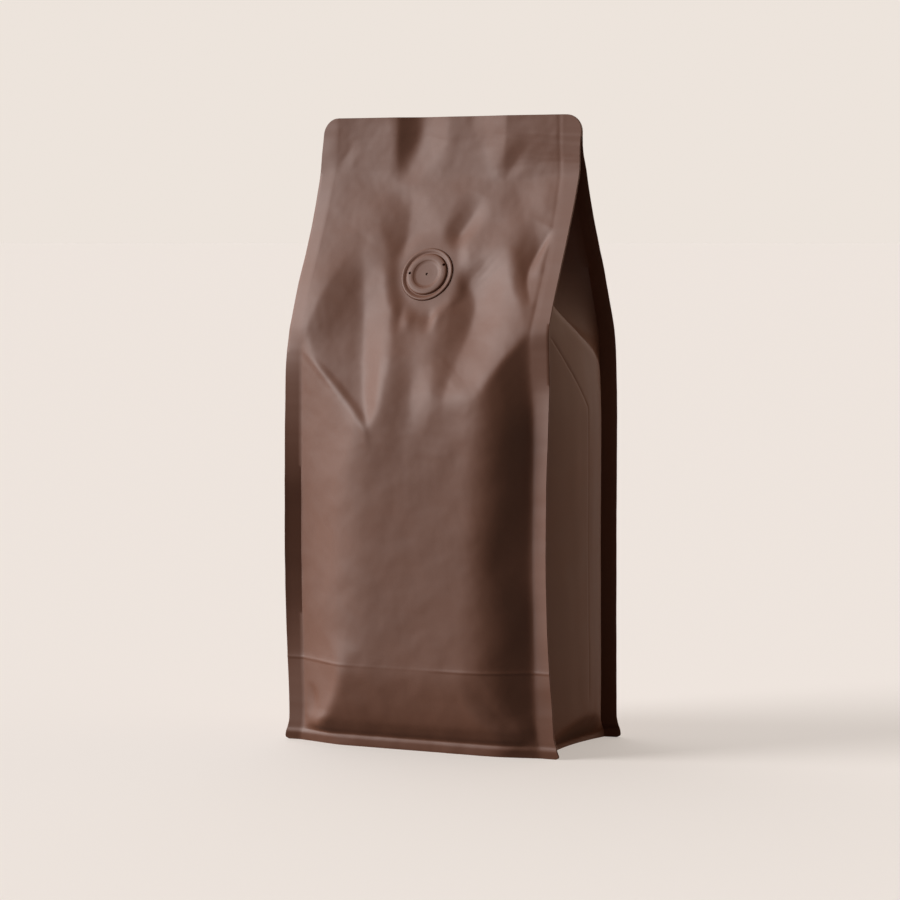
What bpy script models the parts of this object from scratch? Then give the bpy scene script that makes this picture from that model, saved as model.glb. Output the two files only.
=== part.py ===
"""Flat-bottom coffee bag, filled, sealed and standing, with its degassing valve.

The pouch is one closed solid, lofted upwards from level sections. A section runs
round the front panel, the right gusset, the back panel and the left gusset, and
takes in the four thin seals that stand out at the corners. Above the shoulder the
gussets fold inwards, until both panels meet in the top seal. The one-way valve is
a turned disc in a shallow recess in the front panel.

Metres, +Z up, front panel towards -Y, origin under the middle of the base.
"""
import math
from collections import namedtuple

import bmesh
import bpy
import numpy as np
from mathutils import Matrix, Vector

MM = 0.001

# Driving dimensions of the pouch
HEIGHT = 256.8 * MM
PANEL = 53.7 * MM               # half a panel, between its corner seals
CORNER_SEAL = 6.3 * MM          # width of each corner seal
FILM = 0.8 * MM                 # thickness of a corner seal
HALF_DEPTH = 32.5 * MM          # from the top seal's plane to a corner seal
TOP_SEAL = 14 * MM              # height over which both panels and the gussets are one
TOP_CORNER = 6 * MM             # radius of its two corners
WAVE_RISE = 8 * MM              # height in which the top seal's waves set in
HEM = 4 * MM                    # height of the hem round the base
HEM_FLARE = 1.9 * MM            # how far it stands out
HEM_LIP = 0.7 * MM              # half the height of its upper fold
HEM_TUCK = 0.12
GUSSET_FLARE = 0.6              # the hem flares less under the gussets
FRONT_BULGE = 14 * MM
BACK_BULGE = 11 * MM
GUSSET_BULGE = 9.2 * MM
GUSSET_UNDERSIDE = 0.5          # slope of the tuck above the hem
GUSSET_PLY = 36.5 * MM          # half the gusset, from corner seal to centre crease
GUSSET_TOP_FRONT = 169 * MM     # where the gusset turns inwards, at each seal
GUSSET_TOP_BACK = 160 * MM
GUSSET_TURN = 12 * MM           # height in which it turns
GUSSET_CLOSE = 8 * MM           # height in which its fold closes under the top seal
TOP_GAP = 0.3 * MM              # least width left of a panel at the rounded corners

# Driving dimensions of the valve
VALVE_RADIUS = 11.5 * MM
VALVE_X = -0.3 * MM
VALVE_Z = 192.3 * MM
VALVE_SEAT = 20.1 * MM          # depth of the panel under it
VALVE_SLOPE = 0.445
VALVE_TILT = math.atan(VALVE_SLOPE)
VALVE_FLAT = (12.2 * MM, 17 * MM)   # the panel is flat to the first radius
RECESS_DEPTH = 1.0 * MM
GAP = 0.3 * MM
PINHOLE_RADIUS = 0.6 * MM
PINHOLE_DEPTH = 0.8 * MM
PINHOLES = ((0.0, 0.0), (-7.6 * MM, 0.2 * MM), (7.1 * MM, 4.0 * MM))
VALVE_SIDES = 48

# Sizes that change with height, as (height, value)
TAPER_LEFT_AT = ((0, 96.5 * MM), (133 * MM, 45.8 * MM), (187 * MM, 25.3 * MM), (195 * MM, 21.2 * MM),
                 (205 * MM, 16.0 * MM), (215 * MM, 11.2 * MM), (225 * MM, 6.9 * MM),
                 (233 * MM, 3.9 * MM), (242 * MM, 1.8 * MM), (250 * MM, 0.9 * MM), (HEIGHT, 0.6 * MM))
TAPER_RIGHT_AT = ((0, 118 * MM), (133 * MM, 52.0 * MM), (187 * MM, 25.5 * MM), *TAPER_LEFT_AT[3:])
TAPER_BACK_AT = ((0, 108 * MM), (133 * MM, 49.0 * MM), (187 * MM, 24.6 * MM), *TAPER_LEFT_AT[3:])
FRONT_BULGE_AT = ((0, 0.54), (4 * MM, 0.38), (7 * MM, 0.52), (12 * MM, 0.71),
                  (20 * MM, 0.86), (34 * MM, 1.0), (HEIGHT, 1.0))
BACK_BULGE_AT = ((0, 0.50), (4 * MM, 0.36), (8 * MM, 0.60), (16 * MM, 0.85),
                 (36 * MM, 1.0), (HEIGHT, 1.0))
GUSSET_BULGE_AT = ((0, 0.9), (34 * MM, 1.0), (110 * MM, 1.0), (136 * MM, 0.85), (165 * MM, 0.4),
                   (178 * MM, 0.0), (HEIGHT, 0.0))
PANEL_AT = ((0, 1.052), (HEM, 1.034), (9 * MM, 1.010), (34 * MM, 1.002), (60 * MM, 0.993),
            (80 * MM, 0.992), (148 * MM, 1.003), (180 * MM, 0.992), (240 * MM, 0.995), (HEIGHT, 0.985))
BACK_DRIFT = 0.7 * MM                   # the back stands this far to the right
# How far the front stands to the right
FRONT_DRIFT_AT = ((0, 2.6 * MM), (8 * MM, 2.6 * MM), (34 * MM, 1.75 * MM), (60 * MM, 0.8 * MM),
                  (80 * MM, 0.5 * MM), (148 * MM, 1.05 * MM), (210 * MM, 0.45 * MM), (HEIGHT, 0))
# How far each corner seal leans out from its panel, in degrees
LEFT_LEAN_AT = ((0, 4), (26 * MM, 5), (40 * MM, 11), (57 * MM, 20), (78 * MM, 26), (100 * MM, 28),
                (116 * MM, 20), (133 * MM, 14), (150 * MM, 7), (158 * MM, 0), (168 * MM, -13),
                (177 * MM, -17), (200 * MM, -16), (225 * MM, -8), (245 * MM, 0), (HEIGHT, 0))
RIGHT_LEAN_AT = ((0, 8), (34 * MM, 12), (60 * MM, 15), (145 * MM, 15), (165 * MM, 0), (178 * MM, -17),
                 (205 * MM, -19), (228 * MM, -9), (245 * MM, 0), (HEIGHT, 0))
BACK_LEAN_AT = ((0, 12), (34 * MM, 20), (150 * MM, 24), (170 * MM, 10), (200 * MM, 0), (HEIGHT, 0))
# Each flank of the filled front, from its corner seal: straight, then eased off to its full width
LEFT_STRAIGHT_AT = ((0, 28 * MM), (4 * MM, 15 * MM), (8 * MM, 9 * MM), (15 * MM, 14 * MM), (30 * MM, 21 * MM),
                    (36 * MM, 20 * MM), (50 * MM, 13 * MM), (80 * MM, 19 * MM), (104 * MM, 20 * MM),
                    (131 * MM, 30 * MM), (150 * MM, 32 * MM), (HEIGHT, 32 * MM))
LEFT_FLANK_AT = ((0, 36 * MM), (4 * MM, 22 * MM), (8 * MM, 15 * MM), (15 * MM, 21 * MM), (34 * MM, 30 * MM),
                 (50 * MM, 42 * MM), (104 * MM, 42 * MM), (131 * MM, 40 * MM), (HEIGHT, 42 * MM))
RIGHT_STRAIGHT_AT = ((0, 14 * MM), (4 * MM, 9 * MM), (8 * MM, 5 * MM), (18 * MM, 8 * MM), (34 * MM, 10 * MM),
                     (50 * MM, 7 * MM), (66 * MM, 10 * MM), (78 * MM, 14 * MM), (90 * MM, 11 * MM),
                     (104 * MM, 8 * MM), (131 * MM, 7 * MM), (160 * MM, 12 * MM), (HEIGHT, 12 * MM))
RIGHT_FLANK_AT = ((0, 26 * MM), (4 * MM, 22 * MM), (8 * MM, 20 * MM), (18 * MM, 29 * MM), (34 * MM, 31 * MM),
                  (50 * MM, 30 * MM), (78 * MM, 28 * MM), (104 * MM, 28 * MM), (131 * MM, 25 * MM),
                  (160 * MM, 40 * MM), (HEIGHT, 44 * MM))
FLANK_POWER = 2.6
RIGHT_SHARE = 0.9                       # of the bulge, which the right flank falls
BACK_KNEE = ((0, 26 * MM), (4 * MM, 40 * MM), (8 * MM, 46 * MM), (36 * MM, 31 * MM), (HEIGHT, 28 * MM))
FRONT_FILLET = 0.07                     # hollow beside the front's right corner seal

# A crease runs down through points (x, z, height, left, right) on a panel: its height there is
# outwards, so a valley's is negative, and left and right are the widths of its flanks.
Crease = namedtuple("Crease", "line crest")
CREASE_DRAWN = 2                        # straight stretches between two of its points
CREASE_RUNOUT = 0.3                     # share of a flank in which it dies out


def crease(*points, crest=0.8):
    """Crease with its lengths given in millimetres, drawn as one smooth line."""
    given = np.array(points, float) * MM
    before, after = 2 * given[0] - given[1], 2 * given[-1] - given[-2]
    ends = np.vstack([before, given, after])
    line = [given[0]]
    for a, b, c, d in zip(ends, ends[1:], ends[2:], ends[3:]):
        for t in np.arange(1, CREASE_DRAWN + 1) / CREASE_DRAWN:
            line.append(0.5 * (2 * b + (c - a) * t + (2 * a - 5 * b + 4 * c - d) * t**2
                               + (3 * b - a - 3 * c + d) * t**3))
    line = np.array(line)
    line[:, 3:] = np.maximum(line[:, 3:], 0.5 * MM)
    return Crease(line, crest * MM)


# Creases of the tapering front: they are cut off where the film lies over the full body
FRONT_CREASES = (
    # left valley
    crease((-36, 210, 0, 12, 8), (-31.5, 194, -1.8, 16, 11), (-28, 178, -3.4, 20, 12),
           (-25.5, 164, -4.1, 25, 12), (-23, 150, -4.1, 22, 11), (-19, 138, -3.2, 15, 7),
           (-15.5, 128, -1.8, 9, 5), crest=2),
    crease((-34, 208, 0, 16, 14), (-41, 196, 1.0, 12, 12), (-46, 185, 1.3, 8, 12),
           (-49, 176, 1.0, 5, 14), (-52, 166, 0.3, 2, 14), crest=1.5),
    # ridge beside the middle
    crease((-13, 197, 0, 10, 10), (-11.5, 184, 0.8, 12, 14), (-10, 172, 1.3, 14, 18),
           (-9, 163, 1.4, 14, 18), (-8, 154, 1.3, 13, 14), (-11, 145, 0.9, 8, 10), (-15, 135, 0, 4, 8),
           crest=2.5),
    # the middle falls back under the valve
    crease((0, 224, 0, 26, 26), (0, 206, -1.6, 27, 26), (0, 190, -2.2, 26, 26), (2, 174, -2.0, 20, 20),
           (4, 158, -1.4, 16, 16), (5, 143, 0, 12, 12), crest=6),
    # right valley and the ridge on its left
    crease((12, 191, 0, 8, 6), (12.5, 180, 0.8, 12, 12), (13.5, 170, 1.1, 14, 12),
           (14, 159, 0.9, 12, 10), (13, 147, 0, 10, 8), crest=3),
    crease((27, 210, 0, 12, 12), (27, 198, -1.6, 13, 12), (26, 188, -2.7, 15, 15),
           (26, 178, -3.6, 17, 17), (26, 170, -3.9, 17, 18), (24.5, 160, -3.6, 14, 20),
           (21.8, 149, -2.6, 9, 20), (19, 140, -1.2, 7, 14), (17, 132, 0, 5, 10), crest=2),
    crease((28, 212, 0, 10, 8), (33, 205, 0.8, 10, 10), (39, 197.5, 1.4, 12, 8), (43, 190, 1.5, 14, 8),
           (46, 182, 1.1, 16, 7), (49, 172, 0.6, 16, 6), (51, 166, 0, 12, 5), crest=1.5),
    crease((51.5, 209.5, 0, 16, 2), (48.3, 203, -1.1, 11, 5), (44.8, 197, -1.8, 8, 8), (43.8, 190, -1.7, 6, 9),
           (44.6, 184, -0.8, 5, 8), (46.5, 177, 0, 4, 5), crest=0.4),
    # above the valve
    crease((-15, 226, 0, 18, 5), (-14.6, 214, -0.9, 20, 6), (-14.2, 205, -1.7, 17, 7),
           (-13.2, 197, -1.8, 10, 6), (-12, 190, -0.8, 5, 5), crest=1.2),
    crease((-32, 224, 0, 12, 8), (-27, 213, 0.8, 14, 9), (-22, 203, 1.1, 14, 8), (-16.5, 193, 0.8, 12, 5),
           (-12, 185, 0, 8, 4), crest=1.5),
    crease((18.5, 224, 0, 7, 5), (14.5, 215.5, -1.0, 6, 6), (9.8, 207.5, -1.5, 5, 5), (6.0, 201, -1.0, 4, 4),
           crest=1),
    # streak above the middle of the shoulder
    crease((1.5, 159, 0, 5, 6), (2.2, 150, -1.0, 6, 9), (3, 140, -1.5, 6, 9), (5.5, 131, -1.2, 5, 7),
           (8, 124, 0, 4, 5), crest=1),
    crease((11.5, 158, 0, 6, 5), (12, 148, 0.8, 8, 5), (12.5, 140, 0.9, 8, 5), (11, 131, 0.7, 7, 4),
           (9.5, 124, 0, 4, 4), crest=1),
)
BACK_CREASES = (
    crease((-24, 212, 0, 16, 16), (-23, 195, -3.5, 22, 20), (-21.5, 170, -5.0, 22, 20),
           (-20, 150, -4.0, 20, 18), (-20, 134, 0, 14, 14), crest=1.5),
    crease((22, 210, 0, 16, 16), (23, 190, -3.5, 22, 22), (24.5, 165, -4.5, 22, 22),
           (25, 148, -3.0, 20, 20), (25, 138, 0, 14, 14), crest=1.5),
)
# Waves of the top seal, which its front and back share
TOP_CREASES = (
    crease((-23.5, 262, 1.6, 22, 9.5), (-23.5, 250, 1.4, 20, 9), (-23.2, 240, 0.9, 14, 6),
           (-22.5, 230, 0, 8, 3), crest=0.5),
    crease((-13.5, 262, -3.0, 9.5, 16), (-14, 250, -2.7, 9, 15), (-17.5, 240, -1.4, 5.5, 10),
           (-21.5, 230, 0, 3, 6), crest=0.7),
    crease((-1, 262, 0.5, 9, 5), (-1, 248, 0.5, 8, 5), (-2, 238, 0.2, 6, 4), (-3, 230, 0, 4, 4), crest=1),
    crease((28.0, 262, 3.4, 12.6, 22), (27.8, 250, 3.0, 12, 19), (27, 240, 1.7, 9, 11), (26.5, 230, 0, 6, 4),
           crest=1),
)

# The loft's columns follow the panels' main creases, as (height, x)
FRONT_LEFT_CREASE = ((0, -26 * MM), (4 * MM, -38 * MM), (8 * MM, -44 * MM), (15 * MM, -39 * MM),
                     (34 * MM, -30 * MM), (60 * MM, -24 * MM), (104 * MM, -22 * MM), (126 * MM, -16 * MM),
                     (164 * MM, -25.5 * MM), (208 * MM, -35 * MM), (236 * MM, -24 * MM),
                     (HEIGHT, -23.5 * MM))
FRONT_RIGHT_CREASE = ((0, 28 * MM), (4 * MM, 40 * MM), (8 * MM, 44 * MM), (18 * MM, 38 * MM),
                      (60 * MM, 37 * MM), (110 * MM, 36 * MM), (136 * MM, 22 * MM), (175 * MM, 26 * MM),
                      (214 * MM, 27 * MM), (HEIGHT, 28 * MM))

# The loft's steps round a section, and its levels
FRONT_STEPS = (9, 14, 9)        # left of the creases, between them and right of them
BACK_STEPS = (4, 7, 4)
GUSSET_STEPS = 8
LOFT_BANDS = (                  # (from, to, rows)
    (0, HEM - HEM_LIP, 1), (HEM - HEM_LIP, HEM + HEM_LIP, 2), (HEM + HEM_LIP, 14 * MM, 3),
    (14 * MM, 34 * MM, 4), (34 * MM, 122 * MM, 8), (122 * MM, 156 * MM, 7), (156 * MM, 184 * MM, 7),
    (184 * MM, 230 * MM, 8), (230 * MM, HEIGHT - TOP_SEAL, 3), (HEIGHT - TOP_SEAL, HEIGHT - TOP_CORNER, 3),
)
TOP_CORNER_ROWS = 4


def ease(t):
    """Smooth step from 0 to 1."""
    t = np.clip(t, 0.0, 1.0)
    return t * t * (3.0 - 2.0 * t)


def soft_min(a, b, blend):
    return 0.5 * (a + b - np.sqrt((a - b) ** 2 + blend * blend))


def soft_max(a, b, blend):
    return 0.5 * (a + b + np.sqrt((a - b) ** 2 + blend * blend))


def at_height(z, pairs):
    """Value at height z of a curve that runs evenly through (height, value) pairs."""
    heights = np.array([pair[0] for pair in pairs])
    values = np.array([pair[1] for pair in pairs])
    slopes = np.diff(values) / np.diff(heights)
    turns = slopes[:-1] * slopes[1:] > 0
    sums = np.where(turns, slopes[:-1] + slopes[1:], 1.0)
    tangents = np.zeros(len(pairs))
    tangents[1:-1] = np.where(turns, 2.0 * slopes[:-1] * slopes[1:] / sums, 0.0)
    i = np.clip(np.searchsorted(heights, z) - 1, 0, len(pairs) - 2)
    step = heights[i + 1] - heights[i]
    t = np.clip((z - heights[i]) / step, 0.0, 1.0)
    return ((2 * t**3 - 3 * t**2 + 1) * values[i] + (t**3 - 2 * t**2 + t) * step * tangents[i]
            + (3 * t**2 - 2 * t**3) * values[i + 1] + (t**3 - t**2) * step * tangents[i + 1])


def creased(x, z, creases):
    """Sum of the creases' heights at (x, z) on a panel."""
    total = np.zeros(np.broadcast(x, z).shape)
    for one in creases:
        nearest = np.full(total.shape, np.inf)
        height = np.zeros(total.shape)
        for start, end in zip(one.line, one.line[1:]):
            run = end - start
            length = math.hypot(run[0], run[1])
            across, down = run[0] / length, run[1] / length
            share = np.clip(((x - start[0]) * across + (z - start[1]) * down) / length, 0.0, 1.0)
            off_x, off_z = x - start[0] - share * run[0], z - start[1] - share * run[1]
            away = np.hypot(off_x, off_z)
            side = off_z * across - off_x * down > 0
            flank = np.where(side, start[4] + share * run[4], start[3] + share * run[3])
            far = (np.sqrt(away**2 + one.crest**2) - one.crest) / flank
            closer = away < nearest
            near = 1.0 - far
            worn = np.maximum(near + CREASE_RUNOUT, 0.0) ** 2 / (4.0 * CREASE_RUNOUT)
            near = np.where(near > CREASE_RUNOUT, near, worn)
            height = np.where(closer, (start[2] + share * run[2]) * near, height)
            nearest = np.minimum(nearest, away)
        total = total + height
    return total


def front_taper(x, z):
    """Depth of the front above the shoulder, from the top seal's plane."""
    left, right = at_height(z, TAPER_LEFT_AT), at_height(z, TAPER_RIGHT_AT)
    return left + (right - left) * (x + PANEL) / (2.0 * PANEL) + creased(x, z, FRONT_CREASES)


def hem_flare(z):
    """How far the hem stands out from the panel above it."""
    return HEM_FLARE * ease((HEM + HEM_LIP - z) / (2.0 * HEM_LIP)) - HEM_TUCK * np.maximum(HEM - z, 0.0)


def flank(inside, straight, width):
    """Rise of a flank, from 0 to 1, at a distance inside its corner seal."""
    eased = (width - straight) / FLANK_POWER
    rest = np.clip((width - inside) / (width - straight), 0.0, 1.0)
    rise = np.where(inside < straight, inside, straight + eased * (1.0 - rest**FLANK_POWER))
    return rise / (straight + eased)


def front_body(x, z):
    """Depth of the filled front under the shoulder."""
    left = flank(PANEL + x, at_height(z, LEFT_STRAIGHT_AT), at_height(z, LEFT_FLANK_AT))
    right = flank(PANEL - x, at_height(z, RIGHT_STRAIGHT_AT), at_height(z, RIGHT_FLANK_AT))
    right = soft_max(right - FRONT_FILLET, 0.0, FRONT_FILLET) / (1.0 - FRONT_FILLET)
    swell = soft_max(left + RIGHT_SHARE * (right - 1.0), 0.0, 0.03)
    return HALF_DEPTH + FRONT_BULGE * at_height(z, FRONT_BULGE_AT) * swell + hem_flare(z)


def front_depth(x, z):
    """How far the front panel stands in front of the top seal's plane."""
    middle = ease((x + 14 * MM) / (16 * MM)) * ease((38 * MM - x) / (16 * MM))
    depth = soft_min(front_body(x, z), front_taper(x, z), (1.2 + 3 * middle) * MM)
    flat_from, flat_to = VALVE_FLAT
    away = np.hypot(x - VALVE_X, z - VALVE_Z)
    flat = ease((flat_to - away) / (flat_to - flat_from))
    return depth + flat * (VALVE_SEAT - VALVE_SLOPE * (z - VALVE_Z) - depth)


def back_depth(x, z):
    """How far the back panel stands behind the top seal's plane."""
    knee = at_height(z, BACK_KNEE)
    swell = soft_max(soft_min((PANEL - abs(x)) / (PANEL - knee), 1.0, 0.14), 0.0, 0.05)
    body = HALF_DEPTH + BACK_BULGE * at_height(z, BACK_BULGE_AT) * swell + hem_flare(z)
    return soft_min(body, at_height(z, TAPER_BACK_AT) + creased(x, z, BACK_CREASES), 3 * MM)


def rounded_off(width, z):
    """Half a width with the top corners rounded off."""
    above = max(0.0, z - (HEIGHT - TOP_CORNER))
    return width - TOP_CORNER + math.sqrt(max(0.0, TOP_CORNER**2 - above**2))


def gusset_points(z, edge, root, front, back):
    """Right gusset from front to back, between the corner seals' inner faces."""
    across = np.linspace(-1.0, 1.0, GUSSET_STEPS + 1)
    middle, half = 0.5 * (front + back), 0.5 * (back - front)
    if z >= HEIGHT - TOP_SEAL:
        return [(edge, middle + 0.9 * share * half) for share in across]
    turn = GUSSET_TOP_FRONT + (GUSSET_TOP_BACK - GUSSET_TOP_FRONT) * 0.5 * (1.0 + across)
    reach = ease((z - turn) / GUSSET_TURN)
    closing = min(1.0, (HEIGHT - TOP_SEAL - z) / GUSSET_CLOSE)
    notch = closing * reach * math.sqrt(max(0.0, GUSSET_PLY**2 - half**2)) * (1.0 - np.abs(across))
    swell = soft_min(GUSSET_BULGE * at_height(z, GUSSET_BULGE_AT) * (1.0 - across**2),
                     GUSSET_UNDERSIDE * (z - 0.5 * HEM), 0.8 * MM)
    flare = GUSSET_FLARE * hem_flare(z) * (1.0 - across**2)
    x = root + np.maximum(swell, flare) - notch
    return list(zip(x, middle + across * half))


def side_points(z, root, front, back, front_lean, back_lean):
    """One side's outer points, as on the right, from the front panel's root to the back panel's."""
    thick = min(FILM, 0.3 * (back - front))
    front_edge = rounded_off(root + CORNER_SEAL * math.cos(math.radians(front_lean)), z)
    back_edge = rounded_off(root + CORNER_SEAL * math.cos(math.radians(back_lean)), z)
    front_tip = front - CORNER_SEAL * math.sin(math.radians(front_lean))
    back_tip = back + CORNER_SEAL * math.sin(math.radians(back_lean))
    gusset = gusset_points(z, min(front_edge, back_edge), root, front + thick, back - thick)
    return [(front_edge, front_tip), (front_edge, front_tip + thick), *gusset,
            (back_edge, back_tip - thick), (back_edge, back_tip)]


def columns(marks, steps):
    """Positions along a panel, evenly spaced from each mark to the next."""
    places = [marks[0]]
    for start, end, count in zip(marks, marks[1:], steps):
        places += [start + (end - start) * (i + 1) / count for i in range(count)]
    return np.array(places)


def section(z):
    """Closed section of the pouch at height z, anticlockwise seen from above."""
    root = PANEL * at_height(z, PANEL_AT)
    scale = min(root, rounded_off(root + CORNER_SEAL, z) - TOP_GAP) / PANEL
    front_x = columns((-PANEL, at_height(z, FRONT_LEFT_CREASE), at_height(z, FRONT_RIGHT_CREASE), PANEL),
                      FRONT_STEPS)
    back_x = columns((PANEL, at_height(z, BACK_KNEE), -at_height(z, BACK_KNEE), -PANEL), BACK_STEPS)
    front, back = -front_depth(front_x, z), back_depth(back_x, z)
    back_lean = at_height(z, BACK_LEAN_AT)
    right = side_points(z, scale * PANEL, front[-1], back[0], at_height(z, RIGHT_LEAN_AT), back_lean)
    left = side_points(z, scale * PANEL, front[0], back[-1], at_height(z, LEFT_LEAN_AT), back_lean)
    points = [*zip(scale * front_x, front), *right, *zip(scale * back_x, back),
              *[(-x, y) for x, y in reversed(left)]]
    x, y = np.array(points).T
    forward = 0.5 - 0.5 * y / HALF_DEPTH
    behind = BACK_DRIFT * ease((HEIGHT - TOP_SEAL - z) / (30 * MM))
    x = x + behind + forward * (at_height(z, FRONT_DRIFT_AT) - behind)
    y = y - creased(x, z, TOP_CREASES) * ease((z - (HEIGHT - TOP_SEAL)) / WAVE_RISE)
    return [Vector((across, along, z)) for across, along in zip(x, y)]


def loft_levels():
    levels = []
    for low, high, rows in LOFT_BANDS:
        levels += [low + (high - low) * i / rows for i in range(rows)]
    for i in range(TOP_CORNER_ROWS + 1):
        turn = 0.5 * math.pi * i / TOP_CORNER_ROWS
        levels.append(HEIGHT - TOP_CORNER + TOP_CORNER * math.sin(turn))
    return levels


def material(name, colour, roughness):
    made = bpy.data.materials.new(name)
    made.use_nodes = True
    shader = made.node_tree.nodes["Principled BSDF"]
    shader.inputs["Base Color"].default_value = (*colour, 1.0)
    shader.inputs["Roughness"].default_value = roughness
    shader.inputs["Metallic"].default_value = 0.0
    return made


def add_object(name, bm, collection, made=None):
    bmesh.ops.recalc_face_normals(bm, faces=bm.faces)
    mesh = bpy.data.meshes.new(name)
    bm.to_mesh(mesh)
    bm.free()
    thing = bpy.data.objects.new(name, mesh)
    collection.objects.link(thing)
    if made:
        mesh.materials.append(made)
    return thing


def add_cut(thing, cutter):
    cut = thing.modifiers.new(cutter.name, 'BOOLEAN')
    cut.operation = 'DIFFERENCE'
    cut.solver = 'EXACT'
    cut.object = cutter


def valve_frame():
    """Matrix of the valve's seat: its Z points out of the front panel."""
    normal = Vector((0.0, -math.cos(VALVE_TILT), math.sin(VALVE_TILT)))
    up = Vector((0.0, math.sin(VALVE_TILT), math.cos(VALVE_TILT)))
    turned = Matrix((up.cross(normal), up, normal)).transposed().to_4x4()
    return Matrix.Translation(Vector((VALVE_X, -VALVE_SEAT, VALVE_Z))) @ turned


def add_cutter(name, radius, low, high, place, sides, collection):
    """Cylinder along the place's Z from low to high, kept only for cutting."""
    bm = bmesh.new()
    bmesh.ops.create_cone(bm, cap_ends=True, segments=sides, radius1=radius, radius2=radius,
                          depth=high - low)
    bmesh.ops.translate(bm, vec=(0.0, 0.0, 0.5 * (low + high)), verts=bm.verts)
    cutter = add_object(name, bm, collection)
    cutter.matrix_world = place
    cutter.hide_render = True
    cutter.display_type = 'WIRE'
    return cutter


def make_pouch(collection, cutters):
    bm = bmesh.new()
    rings = [[bm.verts.new(point) for point in section(z)] for z in loft_levels()]
    count = len(rings[0])
    for lower, upper in zip(rings, rings[1:]):
        for i in range(count):
            j = (i + 1) % count
            bm.faces.new((lower[i], lower[j], upper[j], upper[i]))
    bm.faces.new(list(reversed(rings[0])))
    bm.faces.new(rings[-1])
    film = material("brown_film", (0.150, 0.086, 0.066), 0.5)
    pouch = add_object("pouch", bm, collection, film)
    pouch.data.shade_smooth()
    pouch.data.set_sharp_from_angle(angle=math.radians(40))
    recess = add_cutter("valve_recess_cutter", VALVE_RADIUS + GAP, -RECESS_DEPTH, 4 * MM,
                        valve_frame(), VALVE_SIDES, cutters)
    add_cut(pouch, recess)
    return pouch


# Valve's turned outline, as (share of its radius, height in millimetres)
VALVE_OUTLINE = (
    (0.0, 0.42), (0.26, 0.42), (0.44, 0.50), (0.50, 0.68), (0.54, 0.90), (0.60, 1.00), (0.68, 0.98),
    (0.745, 0.86), (0.77, 0.66), (0.785, 0.20), (0.80, 0.10), (0.83, 0.14), (0.89, 0.46),
    (0.94, 0.60), (0.975, 0.52), (0.993, 0.34), (1.0, 0.10),
)


def make_valve(collection, cutters):
    """Turned disc: dished middle, plateau, groove and outer lip, with three pinholes."""
    foot = GAP - RECESS_DEPTH
    profile = [(reach, height * MM) for reach, height in VALVE_OUTLINE] + [(1.0, foot), (0.0, foot)]
    bm = bmesh.new()
    points = [bm.verts.new((VALVE_RADIUS * reach, 0.0, height)) for reach, height in profile]
    for start, end in zip(points, points[1:]):
        bm.edges.new((start, end))
    mesh = bpy.data.meshes.new("degassing_valve")
    bm.to_mesh(mesh)
    bm.free()
    valve = bpy.data.objects.new("degassing_valve", mesh)
    collection.objects.link(valve)
    mesh.materials.append(material("brown_valve", (0.150, 0.086, 0.066), 0.45))
    valve.matrix_world = valve_frame()
    turn = valve.modifiers.new("turn", 'SCREW')
    turn.steps = VALVE_SIDES
    turn.render_steps = VALVE_SIDES
    turn.use_merge_vertices = True
    turn.merge_threshold = 0.00001
    turn.use_smooth_shade = True
    for i, (across, up) in enumerate(PINHOLES):
        reach = math.hypot(across, up) / VALVE_RADIUS
        face = MM * np.interp(reach, *zip(*VALVE_OUTLINE))
        place = valve_frame() @ Matrix.Translation((across, up, 0.0))
        add_cut(valve, add_cutter(f"pinhole_cutter_{i + 1}", PINHOLE_RADIUS, face - PINHOLE_DEPTH,
                                  face + MM, place, 12, cutters))
    return valve


def clear_scene():
    for thing in list(bpy.data.objects):
        bpy.data.objects.remove(thing, do_unlink=True)


def centre_on_origin(pouch, things):
    """Shift everything so that the pouch's box is centred over the origin."""
    xs = [corner[0] for corner in pouch.bound_box]
    ys = [corner[1] for corner in pouch.bound_box]
    shift = Vector((-0.5 * (min(xs) + max(xs)), -0.5 * (min(ys) + max(ys)), 0.0))
    for thing in things:
        thing.matrix_world = Matrix.Translation(shift) @ thing.matrix_world


def main():
    clear_scene()
    parts = bpy.data.collections.new("coffee_bag")
    cutters = bpy.data.collections.new("cutters")
    bpy.context.scene.collection.children.link(parts)
    bpy.context.scene.collection.children.link(cutters)
    pouch = make_pouch(parts, cutters)
    make_valve(parts, cutters)
    bpy.context.view_layer.update()
    centre_on_origin(pouch, [*parts.objects, *cutters.objects])


main()
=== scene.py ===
"""Looks of the flat-bottom coffee bag: matt brown laminate, filled, sealed and standing.

The pouch is lofted from one closed section that is extruded upwards, level by level.
Its panels are shaped by named folds: where the tapering top meets the full body, the
film creases, and the folds carry those creases up to the valve and down to the base.
"""

import math
from collections import namedtuple

import bmesh
import bpy
import numpy as np
from mathutils import Matrix, Vector, noise


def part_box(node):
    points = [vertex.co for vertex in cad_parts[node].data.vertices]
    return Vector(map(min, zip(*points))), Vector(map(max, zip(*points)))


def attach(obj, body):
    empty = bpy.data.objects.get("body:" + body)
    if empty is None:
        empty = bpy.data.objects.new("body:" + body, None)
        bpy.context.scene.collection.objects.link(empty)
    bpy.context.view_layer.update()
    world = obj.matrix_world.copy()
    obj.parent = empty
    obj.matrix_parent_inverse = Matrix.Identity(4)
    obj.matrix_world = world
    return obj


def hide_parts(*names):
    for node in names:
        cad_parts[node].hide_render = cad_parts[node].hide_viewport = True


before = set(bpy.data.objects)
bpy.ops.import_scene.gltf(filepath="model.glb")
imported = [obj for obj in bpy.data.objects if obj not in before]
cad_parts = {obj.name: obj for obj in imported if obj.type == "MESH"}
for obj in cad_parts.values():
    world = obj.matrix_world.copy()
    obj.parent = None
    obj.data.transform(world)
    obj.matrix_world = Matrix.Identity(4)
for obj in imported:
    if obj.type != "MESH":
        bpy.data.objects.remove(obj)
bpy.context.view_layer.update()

MM = 0.001
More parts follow.
